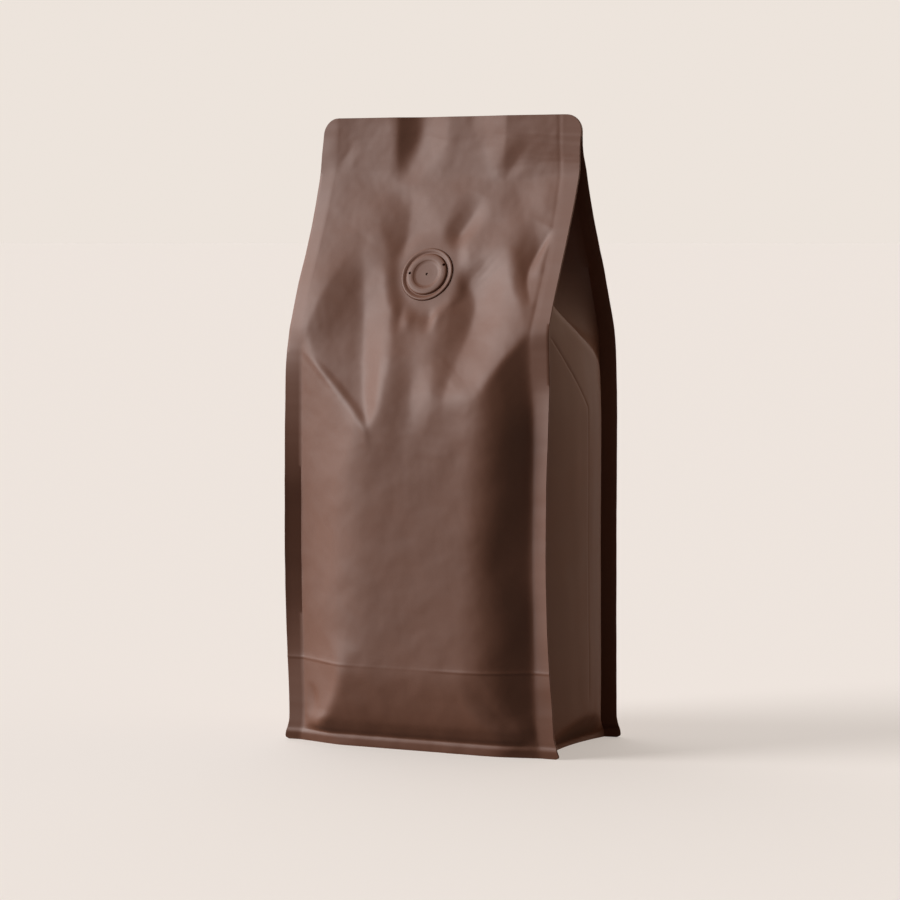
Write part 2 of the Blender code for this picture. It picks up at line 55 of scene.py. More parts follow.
POUCH_LOW, POUCH_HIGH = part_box("pouch")
VALVE_LOW, VALVE_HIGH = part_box("degassing_valve")

# Pouch, driven by the frame's box
HEIGHT = POUCH_HIGH.z
FRONT_REACH = 46.514 * MM               # from the top seal's plane to the fullest part of the front
SEAL_Y = POUCH_LOW.y + FRONT_REACH
LEFT_REACH = 62.037 * MM                # from the top seal's middle to the hem's left corner
MIDDLE_X = POUCH_LOW.x + LEFT_REACH
PANEL = 53.7 * MM                       # half a panel, between its corner seals
CORNER_SEAL = 7.0 * MM
FILM = 0.8 * MM                         # thickness of a corner seal
EDGE_ROUND = 0.2 * MM
HALF_DEPTH = 32.5 * MM
TOP_SEAL = 9 * MM
TOP_CORNER = 7 * MM
HEM = 4 * MM
HEM_FLARE = 0.8 * MM
HEM_LIP = 1.2 * MM                      # half the height of its upper fold
HEM_TUCK = 0.3
HEM_ROUND = 1.6 * MM                    # radius of the hem's corners
GUSSET_TUCK = 4 * MM
FRONT_BULGE = 14 * MM
BACK_BULGE = 11 * MM
GUSSET_BULGE = 9.2 * MM
GUSSET_UNDERSIDE = 0.75                 # slope of the tuck above the hem
GUSSET_PLY = 36.5 * MM
GUSSET_TOP_FRONT = 183 * MM             # where the gusset turns inwards, at each seal
GUSSET_TOP_BACK = 149 * MM
GUSSET_TURN = 15 * MM                   # height in which it turns
GUSSET_BRANCH = 139 * MM                # where its crease branches
GUSSET_GROOVE = 0.22 * MM
GUSSET_GROOVE_WIDTH = 0.5 * MM
GUSSET_ROOF = 0.15 * MM
GUSSET_CLOSE = 7 * MM                   # height in which its fold closes under the top seal

# Valve
VALVE_RADIUS = 11.5 * MM
VALVE_SLOPE = 0.445
VALVE_TILT = math.atan(VALVE_SLOPE)
VALVE_CENTRE = 0.5 * (VALVE_LOW + VALVE_HIGH)
VALVE_X = VALVE_CENTRE.x - MIDDLE_X
VALVE_Z = VALVE_CENTRE.z + 0.11 * MM
VALVE_SEAT = SEAL_Y - VALVE_CENTRE.y + 0.14 * MM    # depth of the panel under it
VALVE_FLAT = (12.0 * MM, 20 * MM)       # the panel is flat to the first radius
RECESS_DEPTH = 0.5 * MM
RECESS_GAP = 0.12 * MM
PINHOLE_RADIUS = 0.6 * MM
PINHOLES = ((0.0, 0.0), (-7.6 * MM, 0.2 * MM), (7.1 * MM, 4.0 * MM))

# Sizes that change with height, as (height, value)
TAPER_LEFT_AT = ((0, 96.5 * MM), (133 * MM, 45.8 * MM), (160 * MM, 36.1 * MM), (187 * MM, 25.3 * MM),
                 (195 * MM, 21.2 * MM), (205 * MM, 16.0 * MM), (215 * MM, 11.2 * MM), (225 * MM, 6.9 * MM),
                 (233 * MM, 3.9 * MM), (242 * MM, 1.8 * MM), (250 * MM, 0.9 * MM), (HEIGHT, 0.6 * MM))
TAPER_RIGHT_AT = ((0, 118 * MM), (133 * MM, 52.9 * MM), (160 * MM, 39.6 * MM), (187 * MM, 25.4 * MM), *TAPER_LEFT_AT[4:])
TAPER_BACK_AT = ((0, 108 * MM), (133 * MM, 49.0 * MM), (187 * MM, 24.6 * MM), *TAPER_LEFT_AT[4:])
FRONT_BULGE_AT = ((0, 0.41), (4 * MM, 0.38), (7 * MM, 0.52), (12 * MM, 0.71),
                  (20 * MM, 0.86), (34 * MM, 1.0), (HEIGHT, 1.0))
BACK_BULGE_AT = ((0, 0.39), (4 * MM, 0.36), (8 * MM, 0.60), (16 * MM, 0.85),
                 (36 * MM, 1.0), (HEIGHT, 1.0))
GUSSET_BULGE_AT = ((0, 0.9), (34 * MM, 1.0), (110 * MM, 1.0), (140 * MM, 0.95), (165 * MM, 0.8),
                   (185 * MM, 0.5), (205 * MM, 0.0), (HEIGHT, 0.0))
PANEL_AT = ((0, 1.040), (HEM, 1.022), (9 * MM, 1.001), (34 * MM, 0.997), (60 * MM, 0.995),
            (80 * MM, 0.994), (135 * MM, 0.997), (155 * MM, 0.991), (180 * MM, 0.983), (240 * MM, 0.983), (HEIGHT, 0.983))
# How far the front stands to the right
FRONT_DRIFT_AT = ((0, 2.6 * MM), (8 * MM, 2.6 * MM), (34 * MM, 1.95 * MM), (60 * MM, 1.4 * MM),
                  (80 * MM, 1.1 * MM), (135 * MM, 1.3 * MM), (155 * MM, 0.95 * MM), (210 * MM, 0.45 * MM), (240 * MM, 0.7 * MM), (HEIGHT, 2.4 * MM))
# How far each corner seal leans out from its panel, in degrees
LEFT_LEAN_AT = ((0, 4), (26 * MM, 5), (40 * MM, 11), (57 * MM, 20), (78 * MM, 26), (100 * MM, 28),
                (116 * MM, 20), (133 * MM, 14), (150 * MM, 7), (158 * MM, 0), (168 * MM, -13),
                (177 * MM, -17), (200 * MM, -16), (225 * MM, -8), (245 * MM, 0), (HEIGHT, 0))
RIGHT_LEAN_AT = ((0, 0), (20 * MM, 2), (34 * MM, 10), (60 * MM, 18), (110 * MM, 18), (125 * MM, 13), (138 * MM, 8),
                 (152 * MM, -6), (164 * MM, -8), (178 * MM, 0), (200 * MM, 2), (228 * MM, 0), (HEIGHT, 0))
BACK_LEAN_AT = ((0, 8), (150 * MM, 8), (170 * MM, 5), (200 * MM, 0), (HEIGHT, 0))
# Each flank of the filled front, from its corner seal: straight, then eased off to its full width
LEFT_STRAIGHT_AT = ((0, 17 * MM), (4 * MM, 15 * MM), (8 * MM, 9 * MM), (15 * MM, 14 * MM), (30 * MM, 21 * MM),
                    (36 * MM, 20 * MM), (50 * MM, 13 * MM), (80 * MM, 19 * MM), (104 * MM, 20 * MM),
                    (131 * MM, 30 * MM), (150 * MM, 32 * MM), (HEIGHT, 32 * MM))
LEFT_FLANK_AT = ((0, 24 * MM), (4 * MM, 22 * MM), (8 * MM, 15 * MM), (15 * MM, 21 * MM), (34 * MM, 30 * MM),
                 (50 * MM, 42 * MM), (104 * MM, 42 * MM), (131 * MM, 40 * MM), (HEIGHT, 42 * MM))
RIGHT_STRAIGHT_AT = ((0, 14 * MM), (4 * MM, 9 * MM), (8 * MM, 5 * MM), (18 * MM, 8 * MM), (34 * MM, 10 * MM),
                     (50 * MM, 7 * MM), (66 * MM, 10 * MM), (78 * MM, 14 * MM), (90 * MM, 11 * MM),
                     (104 * MM, 8 * MM), (131 * MM, 7 * MM), (160 * MM, 12 * MM), (HEIGHT, 12 * MM))
RIGHT_FLANK_AT = ((0, 26 * MM), (4 * MM, 22 * MM), (8 * MM, 20 * MM), (18 * MM, 29 * MM), (34 * MM, 31 * MM),
                  (50 * MM, 30 * MM), (78 * MM, 28 * MM), (104 * MM, 28 * MM), (131 * MM, 25 * MM),
                  (160 * MM, 40 * MM), (HEIGHT, 44 * MM))
FLANK_POWER = 2.6
RIGHT_SHARE = 0.86                      # of the bulge, which the right flank falls
BACK_KNEE = ((0, 26 * MM), (4 * MM, 40 * MM), (8 * MM, 46 * MM), (36 * MM, 31 * MM), (HEIGHT, 28 * MM))
FRONT_FILLET = 0.07                     # hollow beside the front's right corner seal

# Heights and places of the gusset's crease across it, from the middle (0) towards the front (-1):
# above its branch the middle of the fold takes its place
GUSSET_CREASE_AT = ((GUSSET_BRANCH, 168 * MM, 177 * MM), (0, -0.72, 0))
GUSSET_SPREAD = 1.7                     # how much closer together its steps are beside the crease
# Uneven waves of the slack film, as (size of one, height)
SLACK_WAVES = ((8 * MM, 0.17 * MM), (3 * MM, 0.05 * MM))

# Steps round a section: along the front, the back, a gusset and the face of a corner seal
FRONT_STEPS = 140
BACK_STEPS = 64
GUSSET_STEPS = 34
SEAL_STEPS = 5
LOFT_BANDS = (                          # (from, to, rows)
    (0, 3 * MM, 5), (3 * MM, 5 * MM, 8), (5 * MM, 14 * MM, 10), (14 * MM, 33 * MM, 18), (33 * MM, 35.4 * MM, 8),
    (35.4 * MM, 118 * MM, 60), (118 * MM, HEIGHT - TOP_SEAL - GUSSET_ROOF, 166),
    (HEIGHT - TOP_SEAL, HEIGHT - TOP_CORNER, 4),
)
TOP_CORNER_ROWS = 10

# A crease runs down through points (x, z, height, left, right) on a panel: its height there is
# outwards, so a valley's is negative, and left and right are the widths of its flanks.
Crease = namedtuple("Crease", "line crest")
CREASE_DRAWN = 4                        # straight stretches between two of its points
CREASE_RUNOUT = 0.3                     # share of a flank in which it dies out


def crease(*points, crest=0.8):
    """Crease with its lengths given in millimetres, drawn as one smooth line."""
    given = np.array(points, float) * MM
    before, after = 2 * given[0] - given[1], 2 * given[-1] - given[-2]
    ends = np.vstack([before, given, after])
    line = [given[0]]
    for a, b, c, d in zip(ends, ends[1:], ends[2:], ends[3:]):
        for t in np.arange(1, CREASE_DRAWN + 1) / CREASE_DRAWN:
            line.append(0.5 * (2 * b + (c - a) * t + (2 * a - 5 * b + 4 * c - d) * t**2
                               + (3 * b - a - 3 * c + d) * t**3))
    line = np.array(line)
    line[:, 3:] = np.maximum(line[:, 3:], 0.5 * MM)
    return Crease(line, crest * MM)


# Creases of the tapering front: they are cut off where the film lies over the full body
FRONT_CREASES = (
    # left valley
    crease((-36, 210, 0, 12, 8), (-31.5, 194, -1.8, 16, 11), (-28, 178, -3.4, 20, 12),
           (-25.5, 164, -4.3, 30, 11.5), (-23, 150, -4.3, 26, 10.5), (-19, 138, -3.2, 15, 7),
           (-15.5, 128, -1.8, 9, 5), crest=2),
    crease((-34, 208, 0, 16, 14), (-41, 196, 1.0, 12, 12), (-46, 185, 1.3, 8, 12),
           (-49, 176, 1.0, 5, 14), (-52, 166, 0.3, 2, 14), crest=1.5),
    # ridge beside the middle
    crease((-13, 197, 0, 10, 10), (-11.5, 184, 0.8, 12, 14), (-10, 172, 1.3, 14, 18),
           (-9, 163, 1.4, 14, 18), (-8, 154, 1.3, 13, 14), (-11, 145, 0.9, 8, 10), (-15, 135, 0, 4, 8),
           crest=2.5),
    # the middle falls back under the valve
    crease((0, 224, 0, 26, 26), (0, 206, -1.2, 27, 26), (0, 190, -3.0, 26, 26), (2, 176, -3.3, 22, 24),
           (4, 161, -1.2, 18, 18), (5, 143, 0, 12, 12), crest=6),
    # right valley and the ridge on its left
    crease((12, 191, 0, 8, 6), (12.5, 180, 0.8, 12, 12), (13.5, 170, 1.1, 14, 12),
           (14, 159, 0.9, 12, 10), (13, 147, 0, 10, 8), crest=3),
    crease((9.5, 197, 0, 8, 12), (15, 190.5, -1.9, 8, 14), (20.5, 185, -4.0, 11, 18),
           (23.6, 178, -4.6, 12, 17), (23.3, 170, -4.3, 12.5, 16), (21.5, 161, -3.4, 12, 17),
           (19.5, 150, -2.6, 9, 20), (17.8, 141, -1.2, 7, 14), (16.5, 132, 0, 5, 10), crest=1.6),
    crease((28, 212, 0, 10, 10), (33.5, 205, 0.7, 10, 13), (40, 197.5, 1.3, 12, 9), (44, 190, 1.5, 14, 8),
           (47, 182, 1.0, 16, 7), (49, 172, 0.6, 16, 6), (51, 166, 0, 12, 5), crest=1.5),
    crease((52.6, 211, 0, 16, 1.5), (50.6, 206.5, -1.1, 13, 2.5), (47.6, 200.5, -2.0, 10, 3.5), (46, 194, -2.0, 7, 5),
           (46.7, 189, -1.6, 5, 6), (48.8, 184.5, -0.8, 4, 5), (51, 180, 0, 3, 4), crest=0.25),
    # ridge that turns the right of the shoulder
    crease((35, 164, 0, 12, 12), (29, 151, 0.9, 13, 12), (24, 144, 1.7, 13, 12), (20, 133, 0, 10, 10), crest=5),
    # above the valve
    crease((-15, 228, 0, 18, 8), (-14.6, 216, -1.4, 20, 11), (-14.2, 207, -2.1, 17, 11),
           (-13.6, 199, -1.7, 12, 8), (-13, 192, 0, 6, 5), crest=1.0),
    crease((-32, 224, 0, 12, 8), (-27, 213, 0.8, 14, 9), (-22, 203, 1.0, 14, 8), (-17, 194, 0.4, 12, 5),
           (-13, 186, 0, 8, 4), crest=1.5),
    crease((18.5, 224, 0, 8, 5), (14.5, 215.5, -1.4, 7, 6), (9.8, 207.5, -2.0, 6, 5), (6.0, 201, -1.0, 4, 4),
           crest=1),
    crease((23, 207, 0, 5, 5), (16.5, 199, 0.6, 4, 7), (11, 193, 0.4, 3, 6), crest=0.6),
    crease((-2, 234, 0, 9, 9), (-3, 221, 0.1, 10, 9), (-5, 210, -0.3, 7, 7), (-8, 202, 0, 5, 5), crest=2),
    crease((-47, 234, 0, 6, 6), (-35, 229, -0.5, 7, 8), (-20, 226, -0.6, 7, 9), (-6, 224, 0, 5, 6), crest=2),
    crease((30, 231, 0, 8, 8), (36, 222, -0.7, 9, 9), (40, 213, 0, 6, 6), crest=2),
    # short creases that hang from the valve
    crease((-9.5, 182, 0, 2.5, 2.5), (-9.2, 176, -0.7, 3.5, 2.5), (-8.5, 168, 0, 3, 2.5), crest=0.5),
    crease((-4.5, 181, 0, 3, 3), (-4.6, 175, 0.5, 3, 3), (-4, 167, 0, 3, 3), crest=0.5),
    crease((3.3, 181, 0, 3, 2.5), (3.8, 175.5, -0.8, 4, 2.5), (4, 169, 0, 3, 2.5), crest=0.5),
    crease((8, 182, 0, 3, 3), (8.2, 176, 0.6, 2.5, 3), (8, 168, 0, 2.5, 3), crest=0.5),
    # streak above the middle of the shoulder
    crease((1.5, 159, 0, 5, 6), (2.2, 150, -0.7, 6, 9), (3, 140, -1.1, 6, 9), (5.5, 131, -1.0, 5, 7),
           (8, 124, 0, 4, 5), crest=1),
    crease((11.5, 158, 0, 6, 5), (12, 148, 0.8, 8, 5), (12.5, 140, 0.9, 8, 5), (11, 131, 0.7, 7, 4),
           (9.5, 124, 0, 4, 4), crest=1),
)
# Fine creases of the whole front
FRONT_FINE = (
    crease((-54, 162.7, 0, 2, 2), (-45, 155.6, 0.45, 2.5, 2), (-36, 148.5, 0.55, 2.5, 2),
           (-27.8, 141.4, 0.55, 2.5, 2), (-18.5, 132.3, 0.4, 2.5, 2), (-15, 122, 0, 2, 2), crest=0.4),
    crease((-50, 24.5, 0, 4, 3), (-47, 18, -0.9, 5, 4), (-49.5, 10.5, 0, 4, 3), crest=0.4),
    crease((26, 33, 0, 4, 4), (35, 22, -0.7, 6, 5), (43, 13, -0.9, 7, 5), (50, 5, 0, 4, 3), crest=0.6),
)
BACK_CREASES = (
    crease((-24, 212, 0, 16, 16), (-23, 195, -3.5, 22, 20), (-21.5, 170, -5.0, 22, 20),
           (-20, 150, -4.0, 20, 18), (-20, 134, 0, 14, 14), crest=1.5),
    crease((22, 210, 0, 16, 16), (23, 190, -3.5, 22, 22), (24.5, 165, -4.5, 22, 22),
           (25, 148, -3.0, 20, 20), (25, 138, 0, 14, 14), crest=1.5),
)
# Creased line above the bottom, which crosses the front's corner seals too
BOTTOM_LINE = (
    crease((-62, 34.5, 0.16, 0.7, 0.9), (-40, 34.3, 0.22, 0.7, 0.9), (-30, 34.2, 0.17, 0.7, 0.9),
           (-20, 34.2, 0.06, 0.7, 0.9), (10, 34.2, 0.04, 0.7, 0.9), (22, 34.2, 0.14, 0.7, 0.9),
           (45, 34.3, 0.22, 0.7, 0.9), (62, 34.4, 0.16, 0.7, 0.9), crest=0.15),
)
# Waves of the top seal, which its front and back share
TOP_CREASES = (
    crease((-23.5, 262, 1.6, 22, 9.5), (-23.5, 250, 1.4, 20, 9), (-23.2, 240, 0.9, 14, 6), (-22.5, 230, 0, 8, 3),
           crest=0.5),
    crease((-13.5, 262, -2.8, 9.5, 16), (-14, 250, -2.5, 9, 15), (-17.5, 240, -1.4, 5.5, 10),
           (-21.5, 230, 0, 3, 6), crest=2.5),
    crease((-1, 262, 0.5, 9, 5), (-1, 248, 0.5, 8, 5), (-2, 238, 0.2, 6, 4), (-3, 230, 0, 4, 4), crest=1),
    crease((28.0, 262, 3.7, 13.5, 160), (27.8, 250, 3.3, 13, 140), (27, 240, 1.9, 10, 60), (26.5, 230, 0, 6, 4),
           crest=1),
    crease((41, 248, 0, 6, 7), (34.5, 241.5, -0.4, 6, 5), (29.5, 235.5, -0.6, 5, 4), (27, 230, 0, 3, 3), crest=0.6),
    crease((-43, 248, 0, 7, 4), (-47.5, 242, -0.6, 8, 4), (-52, 235, 0, 4, 4), crest=0.5),
    # lower edge of the seal
    crease((-56, 235.5, -0.3, 5, 5), (-30, 234.5, -0.2, 5, 5), (10, 234, -0.1, 5, 5), (26, 235, -0.25, 6, 6),
           (36, 236.5, -0.6, 9, 9), (48, 237.5, -0.5, 10, 10), (62, 238, -0.15, 10, 10), crest=0.5),
    # inner edges of the corner seals
    crease((-52, 262, 0.9, 9, 16), (-52, 246, 0.8, 9, 16), (-52, 236, 0.3, 9, 12), (-52, 226, 0, 5, 5), crest=0.3),
    crease((51.3, 262, -0.15, 1.2, 1.2), (51.3, 240, -0.15, 1.2, 1.2), (52, 226, -0.1, 1.2, 1.2),
           (52.8, 205, -0.1, 1.2, 1.2), (53, 190, -0.15, 1.2, 1.2), (53, 176, -0.15, 1.2, 1.2), (53, 165, 0, 1, 1),
           crest=0.1),
)

BAG_BROWN = (0.171, 0.0585, 0.026)
FILM_SPECULAR = 0.8
BACKDROP = (0.845, 0.775, 0.715)


# ---------------------------------------------------------------- shape of the film

def ease(t):
    """Smooth step from 0 to 1."""
    t = np.clip(t, 0.0, 1.0)
    return t * t * (3.0 - 2.0 * t)


def soft_min(a, b, blend):
    return 0.5 * (a + b - np.sqrt((a - b) ** 2 + blend * blend))


def soft_max(a, b, blend):
    return 0.5 * (a + b + np.sqrt((a - b) ** 2 + blend * blend))


def at_height(z, pairs):
    """Value at height z of a curve that runs evenly through (height, value) pairs."""
    heights = np.array([pair[0] for pair in pairs])
    values = np.array([pair[1] for pair in pairs])
    slopes = np.diff(values) / np.diff(heights)
    turns = slopes[:-1] * slopes[1:] > 0
    sums = np.where(turns, slopes[:-1] + slopes[1:], 1.0)
    tangents = np.zeros(len(pairs))
    tangents[1:-1] = np.where(turns, 2.0 * slopes[:-1] * slopes[1:] / sums, 0.0)
    i = np.clip(np.searchsorted(heights, z) - 1, 0, len(pairs) - 2)
    step = heights[i + 1] - heights[i]
    t = np.clip((z - heights[i]) / step, 0.0, 1.0)
    return ((2 * t**3 - 3 * t**2 + 1) * values[i] + (t**3 - 2 * t**2 + t) * step * tangents[i]
            + (3 * t**2 - 2 * t**3) * values[i + 1] + (t**3 - t**2) * step * tangents[i + 1])


def creased(x, z, creases):
    """Sum of the creases' heights at (x, z) on a panel."""
    total = np.zeros(np.broadcast(x, z).shape)
    for one in creases:
        nearest = np.full(total.shape, np.inf)
        height = np.zeros(total.shape)
        for start, end in zip(one.line, one.line[1:]):
            run = end - start
            length = math.hypot(run[0], run[1])
            across, down = run[0] / length, run[1] / length
            share = np.clip(((x - start[0]) * across + (z - start[1]) * down) / length, 0.0, 1.0)
            off_x, off_z = x - start[0] - share * run[0], z - start[1] - share * run[1]
            away = np.hypot(off_x, off_z)
            side = off_z * across - off_x * down > 0
            flank = np.where(side, start[4] + share * run[4], start[3] + share * run[3])
            far = (np.sqrt(away**2 + one.crest**2) - one.crest) / flank
            closer = away < nearest
            near = 1.0 - far
            worn = np.maximum(near + CREASE_RUNOUT, 0.0) ** 2 / (4.0 * CREASE_RUNOUT)
            near = np.where(near > CREASE_RUNOUT, near, worn)
            height = np.where(closer, (start[2] + share * run[2]) * near, height)
            nearest = np.minimum(nearest, away)
        total = total + height
    return total


def slack(across, up):
    """Height of the slack film's uneven waves."""
    across, up = np.broadcast_arrays(across, up)
    total = np.zeros(across.shape)
    for size, height in SLACK_WAVES:
        found = [noise.noise(Vector((a, b, 0.5))) for a, b in zip(across.ravel() / size, up.ravel() / size)]
        total = total + height * np.reshape(found, across.shape)
    return total


def front_taper(x, z):
    """Depth of the front above the shoulder, from the top seal's plane."""
    left, right = at_height(z, TAPER_LEFT_AT), at_height(z, TAPER_RIGHT_AT)
    return left + (right - left) * (x + PANEL) / (2.0 * PANEL) + creased(x, z, FRONT_CREASES)


def hem_flare(z):
    """How far the hem stands out from the panel above it."""
    return HEM_FLARE * ease((HEM + HEM_LIP - z) / (2.0 * HEM_LIP)) - HEM_TUCK * np.maximum(HEM - z, 0.0)


def flank(inside, straight, width):
    """Rise of a flank, from 0 to 1, at a distance inside its corner seal."""
    eased = (width - straight) / FLANK_POWER
    rest = np.clip((width - inside) / (width - straight), 0.0, 1.0)
    rise = np.where(inside < straight, inside, straight + eased * (1.0 - rest**FLANK_POWER))
    return rise / (straight + eased)


def front_body(x, z):
    """Depth of the filled front under the shoulder."""
    left = flank(PANEL + x, at_height(z, LEFT_STRAIGHT_AT), at_height(z, LEFT_FLANK_AT))
    right = flank(PANEL - x, at_height(z, RIGHT_STRAIGHT_AT), at_height(z, RIGHT_FLANK_AT))
    right = soft_max(right - FRONT_FILLET, 0.0, FRONT_FILLET) / (1.0 - FRONT_FILLET)
    swell = soft_max(left + RIGHT_SHARE * (right - 1.0), 0.0, 0.03)
    return HALF_DEPTH + FRONT_BULGE * at_height(z, FRONT_BULGE_AT) * swell + hem_flare(z)


def front_depth(x, z):
    """How far the front panel stands in front of the top seal's plane."""
    middle = ease((x + 14 * MM) / (16 * MM)) * ease((38 * MM - x) / (16 * MM))
    depth = soft_min(front_body(x, z), front_taper(x, z), (1.2 + 3 * middle) * MM)
    flat_from, flat_to = VALVE_FLAT
    away = np.hypot(x - VALVE_X, z - VALVE_Z)
    flat = ease((flat_to - away) / (flat_to - flat_from))
    return depth + flat * (VALVE_SEAT - VALVE_SLOPE * (z - VALVE_Z) - depth) + creased(x, z, FRONT_FINE)


def back_depth(x, z):
    """How far the back panel stands behind the top seal's plane."""
    knee = at_height(z, BACK_KNEE)
    swell = soft_max(soft_min((PANEL - abs(x)) / (PANEL - knee), 1.0, 0.14), 0.0, 0.05)
    body = HALF_DEPTH + BACK_BULGE * at_height(z, BACK_BULGE_AT) * swell + hem_flare(z)
    return soft_min(body, at_height(z, TAPER_BACK_AT) + creased(x, z, BACK_CREASES), 3 * MM)


def rounded_off(width, z):
    """Half a width with the top corners and the hem's corners rounded off."""
    above = max(0.0, z - (HEIGHT - TOP_CORNER))
    below = max(0.0, HEM_ROUND - z)
    return (width - TOP_CORNER + math.sqrt(max(0.0, TOP_CORNER**2 - above**2))
            - HEM_ROUND + math.sqrt(max(0.0, HEM_ROUND**2 - below**2)))


def gusset_points(z, edge, root, front, back):
    """Right gusset from front to back, between the corner seals' inner faces."""
    crease_at = np.interp(z, *GUSSET_CREASE_AT)
    apart = np.linspace(-1.0, 1.0, GUSSET_STEPS + 1)
    apart = np.sign(apart) * np.abs(apart) ** GUSSET_SPREAD
    across = crease_at + apart * np.where(apart < 0, 1.0 + crease_at, 1.0 - crease_at)
    middle, half = 0.5 * (front + back), 0.5 * (back - front)
    if z >= HEIGHT - TOP_SEAL:
        return np.stack([np.full_like(across, edge), middle + 0.9 * across * half], 1)
    turn = GUSSET_TOP_FRONT + (GUSSET_TOP_BACK - GUSSET_TOP_FRONT) * 0.5 * (1.0 + across)
    reach = ease((z - turn) / GUSSET_TURN)
    closing = min(1.0, (HEIGHT - TOP_SEAL - z) / GUSSET_CLOSE)
    notch = closing * reach * math.sqrt(max(0.0, GUSSET_PLY**2 - half**2)) * (1.0 - np.abs(across))
    away = (across - crease_at) * half / GUSSET_GROOVE_WIDTH
    groove = GUSSET_GROOVE * np.exp(-away * away) * ease((170 * MM - z) / (6 * MM)) * ease((z - 16 * MM) / (8 * MM))
    swell = soft_min(GUSSET_BULGE * at_height(z, GUSSET_BULGE_AT) * (1.0 - across**2),
                     GUSSET_UNDERSIDE * (z - 0.5 * HEM), 0.8 * MM)
    tuck = GUSSET_TUCK * ease((9 * MM - z) / (9 * MM)) * (1.0 - across**2)
    waves = slack(1.5 * across * half, 0.3 * z) * (1.0 - across**2) * ease((z - HEM) / (8 * MM)) * (1.0 - reach)
    x = root + np.maximum(swell, 0.0) - tuck - notch - groove + waves
    return np.stack([x, middle + across * half], 1)


def side_points(z, root, front, back, front_lean, back_lean):
    """One side's outer points, as on the right, from the front panel's root to the back panel's."""
    thick = min(FILM, 0.3 * (back - front))
    rim = min(EDGE_ROUND, 0.25 * thick)
    seal = CORNER_SEAL
    share = np.linspace(0.0, 1.0, SEAL_STEPS + 1)[1:-1]
    front_edge = rounded_off(root + seal * math.cos(math.radians(front_lean)), z)
    back_edge = rounded_off(root + seal * math.cos(math.radians(back_lean)), z)
    front_root = min(root, front_edge - 2.0 * rim)
    back_root = min(root, back_edge - 2.0 * rim)
    front_tip = front - seal * math.sin(math.radians(front_lean))
    back_tip = back + seal * math.sin(math.radians(back_lean))
    face = [(front_root + (front_edge - front_root) * s, front + (front_tip - front) * s) for s in share]
    back_face = [(back_root + (back_edge - back_root) * s, back + (back_tip - back) * s) for s in share[::-1]]
    edge = min(front_edge, back_edge)
    gusset = gusset_points(z, edge, root, front + thick, back - thick)
    closed = z >= HEIGHT - TOP_SEAL
    inner = edge if closed else front_root
    front_inner = [(inner + (front_edge - inner) * s, front_tip + thick + (front - front_tip) * (1.0 - s))
                   for s in share[::-1]]
    inner = edge if closed else back_root
    back_inner = [(inner + (back_edge - inner) * s, back_tip - thick + (back - back_tip) * (1.0 - s))
                  for s in share]
    return np.array([*face, (front_edge - rim, front_tip), (front_edge, front_tip + rim),
                     (front_edge, front_tip + thick - rim), *front_inner, *gusset, *back_inner,
                     (back_edge, back_tip - thick + rim), (back_edge, back_tip - rim),
                     (back_edge - rim, back_tip), *back_face])


def panel_places(steps):
    """Places across a panel, from edge to edge, closer together beside the corner seals."""
    turn = np.linspace(-1.0, 1.0, steps + 1)
    return PANEL * (turn + 0.06 * np.sin(math.pi * turn))


def sections(levels):
    """Closed sections of the pouch at all levels, anticlockwise seen from above."""
    z = np.array(levels)[:, None]
    front_places, back_places = panel_places(FRONT_STEPS), panel_places(BACK_STEPS)[::-1]
    fronts = front_depth(front_places[None, :], z) + slack(front_places[None, :], z)
    backs = back_depth(back_places[None, :], z) + slack(back_places[None, :], z + HEIGHT)
    made = []
    for i, level in enumerate(levels):
        root = PANEL * at_height(level, PANEL_AT)
        scale = min(root, rounded_off(root + CORNER_SEAL, level) - 0.3 * MM) / PANEL
        front = np.stack([scale * front_places, -fronts[i]], 1)
        back = np.stack([scale * back_places, backs[i]], 1)
        back_lean = at_height(level, BACK_LEAN_AT)
        right = side_points(level, scale * PANEL, front[-1, 1], back[0, 1],
                            at_height(level, RIGHT_LEAN_AT), back_lean)
        left = side_points(level, scale * PANEL, front[0, 1], back[-1, 1],
                           at_height(level, LEFT_LEAN_AT), back_lean)[::-1] * (-1.0, 1.0)
        points = np.concatenate([front, right, back, left])
        forward = 0.5 - 0.5 * points[:, 1] / HALF_DEPTH
        x = points[:, 0] + forward * at_height(level, FRONT_DRIFT_AT)
        made.append(np.stack([x, points[:, 1], np.full_like(x, level)], 1))
    made = np.array(made)
    in_front = made[:, :, 1] < -0.85 * HALF_DEPTH
    made[:, :, 1] -= in_front * creased(made[:, :, 0], made[:, :, 2], BOTTOM_LINE)
    return made + (MIDDLE_X, SEAL_Y, 0.0)


def loft_levels():
    levels = []
    for low, high, rows in LOFT_BANDS:
        levels += [low + (high - low) * i / rows for i in range(rows)]
        if high in (HEIGHT - TOP_SEAL - GUSSET_ROOF, HEIGHT - TOP_CORNER):
            levels.append(high)
    for i in range(1, TOP_CORNER_ROWS + 1):
        turn = 0.5 * math.pi * i / TOP_CORNER_ROWS
        levels.append(HEIGHT - TOP_CORNER + TOP_CORNER * math.sin(turn))
    return levels


# ---------------------------------------------------------------- pieces

def finished_piece(name, bm, materials):
    mesh = bpy.data.meshes.new(name)
    bm.to_mesh(mesh)
    bm.free()
    piece = bpy.data.objects.new(name, mesh)
    bpy.context.scene.collection.objects.link(piece)
    for made in materials:
        mesh.materials.append(made)
    return piece


